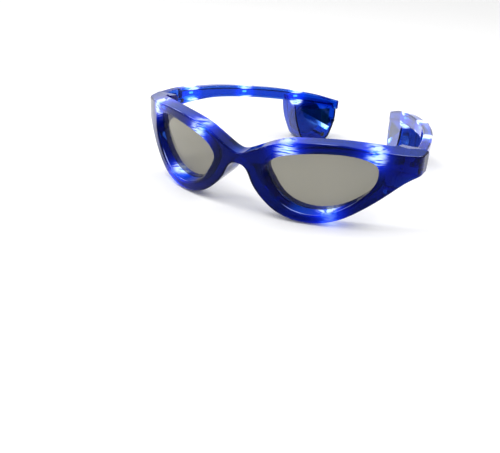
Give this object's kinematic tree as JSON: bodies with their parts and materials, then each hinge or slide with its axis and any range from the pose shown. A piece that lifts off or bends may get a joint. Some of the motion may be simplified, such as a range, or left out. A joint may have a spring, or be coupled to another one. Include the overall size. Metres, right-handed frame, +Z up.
{
  "type": "light up party glasses",
  "caption": "Wrap-around novelty glasses with lights in the frame and arms, clear tinted lenses, folding arms and a battery box with a push button at the end of each arm",
  "frame": {"origin": "middle of the object's footprint, on the surface that the rims and the battery boxes stand on", "axes": "+X to the wearer's left, -Y to the front, +Z up"},
  "size_m": [0.15, 0.1552, 0.0398],
  "materials": {
    "frame_plastic": "translucent glossy cobalt blue",
    "cover_plastic": "translucent glossy cobalt blue",
    "lens_tint": "clear with a pale grey tint",
    "light_chip": "clear dome over a blue chip",
    "wire_coat": "thin dark insulation",
    "pin_steel": "plain steel",
    "cell_steel": "bright steel can",
    "contact_steel": "bright spring strip",
    "board": "dark green circuit board",
    "switch_black": "matt black",
    "button_black": "satin black"
  },
  "bodies": {
    "front": {"front_frame": "frame_plastic", "rear_cover": "cover_plastic", "hinge_pins": "pin_steel", "left_lens": "lens_tint", "left_eye_wiring": "wire_coat", "left_eye_light_inner": "light_chip", "left_eye_light_outer": "light_chip", "left_eye_light_lower": "light_chip", "right_lens": "lens_tint", "right_eye_wiring": "wire_coat", "right_eye_light_inner": "light_chip", "right_eye_light_outer": "light_chip", "right_eye_light_lower": "light_chip"},
    "left_arm_unit": {"left_arm": "frame_plastic", "left_arm_liner": "cover_plastic", "left_arm_wiring": "wire_coat", "left_battery_cover": "cover_plastic", "left_inner_cell": "cell_steel", "left_outer_cell": "cell_steel", "left_circuit_board": "board", "left_switch": "switch_black", "left_contact_strip": "contact_steel", "left_cover_contact": "contact_steel", "left_cover_screw": "pin_steel", "left_arm_light_front": "light_chip", "left_arm_light_middle": "light_chip", "left_arm_light_rear": "light_chip"},
    "right_arm_unit": {"right_arm": "frame_plastic", "right_arm_liner": "cover_plastic", "right_arm_wiring": "wire_coat", "right_battery_cover": "cover_plastic", "right_inner_cell": "cell_steel", "right_outer_cell": "cell_steel", "right_circuit_board": "board", "right_switch": "switch_black", "right_contact_strip": "contact_steel", "right_cover_contact": "contact_steel", "right_cover_screw": "pin_steel", "right_arm_light_front": "light_chip", "right_arm_light_middle": "light_chip", "right_arm_light_rear": "light_chip"},
    "left_button": {"left_push_button": "button_black"},
    "right_button": {"right_push_button": "button_black"}
  },
  "joints": [
    {"name": "left_arm_hinge", "type": "hinge", "parent": "front", "child": "left_arm_unit", "pos_m": [0.0682, -0.03396, 0.03068], "axis": [0, 0, 1], "range_deg": [0, 72]},
    {"name": "right_arm_hinge", "type": "hinge", "parent": "front", "child": "right_arm_unit", "pos_m": [-0.0682, -0.03396, 0.03068], "axis": [0, 0, -1], "range_deg": [0, 58]},
    {"name": "left_button_press", "type": "slide", "parent": "left_arm_unit", "child": "left_button", "axis": [0.5329, -0.8462, 0], "range_m": [0, 0.0005], "stiffness_N_per_m": 900, "springref_m": -0.001},
    {"name": "right_button_press", "type": "slide", "parent": "right_arm_unit", "child": "right_button", "axis": [-0.5329, -0.8462, 0], "range_m": [0, 0.0005], "stiffness_N_per_m": 900, "springref_m": -0.001}
  ]
}
